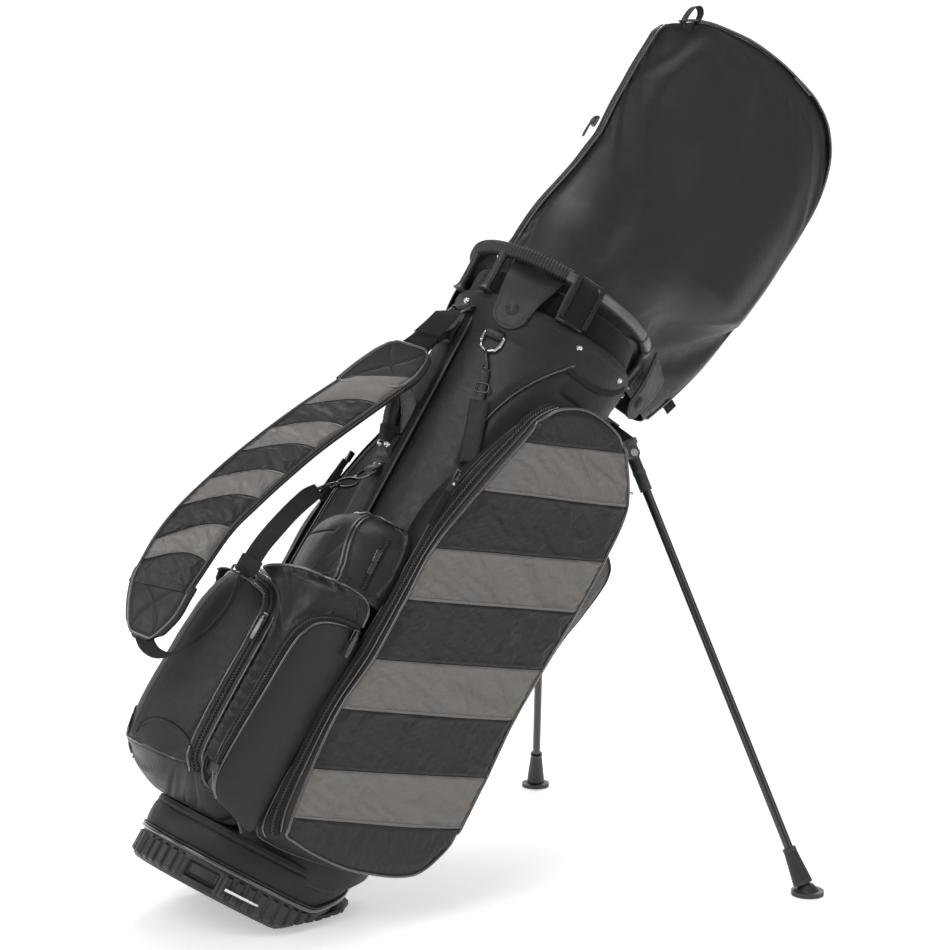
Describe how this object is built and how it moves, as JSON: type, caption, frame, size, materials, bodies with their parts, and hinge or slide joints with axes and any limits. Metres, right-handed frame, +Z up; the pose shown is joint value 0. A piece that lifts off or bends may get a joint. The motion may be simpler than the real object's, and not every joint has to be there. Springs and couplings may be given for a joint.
{
  "type": "golf stand bag",
  "caption": "Leaning golf stand bag with striped apparel pockets, rain hood, handle ring, shoulder strap, folding legs and a hinged sole plate.",
  "frame": {"origin": "middle of the sole plate under face, on the ground", "axes": "+Z up, +X from the bag towards its legs, +Y to the left leg; the bag leans over its legs as it stands in use"},
  "size_m": [1.0892, 0.682, 1.1596],
  "materials": {
    "leatherette_charcoal": "satin",
    "leatherette_stripe": "satin",
    "leatherette_matt": "matt",
    "webbing": "woven",
    "velvet": "pile",
    "felt_grey": "felt",
    "lining": "woven",
    "moulded_black": "textured",
    "ring_plastic": "satin",
    "piping_grey": "satin",
    "grip_rubber": "matt",
    "bright_steel": "polished",
    "dark_steel": "polished",
    "leg_paint": "gloss"
  },
  "bodies": {
    "bag": {"base_shell": "moulded_black", "base_trim": "piping_grey", "base_window_bar": "bright_steel", "base_skirt": "leatherette_charcoal", "body_shell": "leatherette_charcoal", "stay_rods": "bright_steel", "club_divider": "lining", "bottom_pad": "lining", "top_collar": "moulded_black", "handle_ring": "ring_plastic", "ring_grip": "grip_rubber", "post_wraps": "velvet", "collar_rivets": "bright_steel", "spine_panel": "leatherette_charcoal", "carry_handle_grip": "leatherette_matt", "carry_handle_wings": "felt_grey", "handle_rivets": "bright_steel", "apparel_pocket_near": "leatherette_charcoal", "apparel_pocket_far": "leatherette_charcoal", "ball_pocket": "leatherette_charcoal", "side_pocket_near": "leatherette_charcoal", "side_pocket_far": "leatherette_charcoal", "valuables_pocket": "leatherette_charcoal", "slip_pocket_near": "leatherette_matt", "back_pad": "lining", "leg_bracket": "moulded_black", "bracket_pins": "bright_steel", "ring_tabs": "leatherette_charcoal", "strap_pad": "leatherette_charcoal", "strap_patches": "leatherette_charcoal", "upper_webbing": "webbing", "lower_webbing": "webbing", "slider_buckle": "moulded_black", "hood_shell": "leatherette_charcoal", "hood_tabs": "leatherette_charcoal", "snap_buttons": "dark_steel", "hood_pull_tab": "webbing", "sole_hinge_pin": "bright_steel", "snap_hooks": "dark_steel"},
    "sole": {"sole_plate": "moulded_black"},
    "push_rods": {"actuator_rods": "bright_steel"},
    "link_right": {"link_right": "bright_steel"},
    "link_left": {"link_left": "bright_steel"},
    "leg_right": {"leg_tube_right": "leg_paint", "leg_cap_right": "moulded_black", "leg_foot_right": "grip_rubber"},
    "leg_left": {"leg_tube_left": "leg_paint", "leg_cap_left": "moulded_black", "leg_foot_left": "grip_rubber"},
    "towel_ring": {"towel_dring": "bright_steel"},
    "hang_tag": {"hang_tag": "leatherette_matt"},
    "strap_ring_upper": {"strap_dring_upper": "dark_steel"},
    "strap_ring_lower": {"strap_dring_lower": "dark_steel"},
    "zip_apparel_near": {"zip_slider_apparel_near": "dark_steel"},
    "zip_apparel_far": {"zip_slider_apparel_far": "dark_steel"},
    "zip_ball": {"zip_slider_ball": "dark_steel"},
    "zip_side_near": {"zip_slider_side_near": "dark_steel"},
    "zip_side_far": {"zip_slider_side_far": "dark_steel"},
    "zip_valuables": {"zip_slider_valuables": "dark_steel"},
    "zip_hood": {"zip_slider_hood": "dark_steel"}
  },
  "joints": [
    {"name": "leg_right_fold", "type": "hinge", "parent": "bag", "child": "leg_right", "pos_m": [0.45475, -0.104, 0.56116], "axis": [0.4099, 0.8788, -0.2442], "range_deg": [0, 47.41]},
    {"name": "leg_left_fold", "type": "hinge", "parent": "bag", "child": "leg_left", "pos_m": [0.45475, 0.104, 0.56116], "axis": [-0.4099, 0.8788, 0.2442], "range_deg": [0, 47.61]},
    {"name": "sole_plate_fold", "type": "hinge", "parent": "bag", "child": "sole", "pos_m": [-0.064, 0, 0.0045], "axis": [0, 1, 0], "range_deg": [0, 32.6]},
    {"name": "push_rod_slide", "type": "slide", "parent": "bag", "child": "push_rods", "axis": [-0.5373, 0, -0.8434], "range_m": [0, 0.0642]},
    {"name": "link_right_pivot", "type": "hinge", "parent": "push_rods", "child": "link_right", "pos_m": [0.41046, -0.066, 0.52606], "axis": [0, -1, 0], "range_deg": [0, 57]},
    {"name": "link_left_pivot", "type": "hinge", "parent": "push_rods", "child": "link_left", "pos_m": [0.41046, 0.066, 0.52606], "axis": [0, -1, 0], "range_deg": [0, 57]},
    {"name": "towel_ring_swing", "type": "hinge", "parent": "bag", "child": "towel_ring", "pos_m": [0.26423, -0.0655, 0.72107], "axis": [-0.5192, 0.788, 0.3308], "range_deg": [0, 35]},
    {"name": "hang_tag_swing", "type": "hinge", "parent": "towel_ring", "child": "hang_tag", "pos_m": [0.24956, -0.0702, 0.68891], "axis": [0.5752, 0.7314, -0.3664], "range_deg": [0, 25]},
    {"name": "strap_ring_upper_swing", "type": "hinge", "parent": "bag", "child": "strap_ring_upper", "pos_m": [0.25015, -0.014, 0.75553], "axis": [0, 1, 0], "range_deg": [-8, 8]},
    {"name": "strap_ring_lower_swing", "type": "hinge", "parent": "bag", "child": "strap_ring_lower", "pos_m": [0.11851, 0, 0.5489], "axis": [0, 1, 0], "range_deg": [-8, 8]},
    {"name": "apparel_zip_near", "type": "slide", "parent": "bag", "child": "zip_apparel_near", "axis": [-0.5693, 0, -0.8221], "range_m": [0, 0.38]},
    {"name": "apparel_zip_far", "type": "slide", "parent": "bag", "child": "zip_apparel_far", "axis": [-0.5693, 0, -0.8221], "range_m": [0, 0.38]},
    {"name": "ball_pocket_zip", "type": "slide", "parent": "bag", "child": "zip_ball", "axis": [-0.5373, 0, -0.8434], "range_m": [0, 0.15]},
    {"name": "side_zip_near", "type": "slide", "parent": "bag", "child": "zip_side_near", "axis": [-0.8434, 0, 0.5373], "range_m": [0, 0.03]},
    {"name": "side_zip_far", "type": "slide", "parent": "bag", "child": "zip_side_far", "axis": [-0.8434, 0, 0.5373], "range_m": [0, 0.03]},
    {"name": "valuables_zip", "type": "slide", "parent": "bag", "child": "zip_valuables", "axis": [-0.5373, 0, -0.8434], "range_m": [0, 0.02]},
    {"name": "hood_zip", "type": "slide", "parent": "bag", "child": "zip_hood", "axis": [-0.671, 0, -0.7414], "range_m": [0, 0.1]}
  ],
  "couplings": [
    {"joint": "leg_left_fold", "follows": "leg_right_fold", "ratio": 1},
    {"joint": "sole_plate_fold", "follows": "leg_right_fold", "ratio": 0.68558},
    {"joint": "push_rod_slide", "follows": "leg_right_fold", "m_per_rad": 0.077353},
    {"joint": "link_right_pivot", "follows": "leg_right_fold", "ratio": 1.1961},
    {"joint": "link_left_pivot", "follows": "leg_right_fold", "ratio": 1.1961}
  ]
}
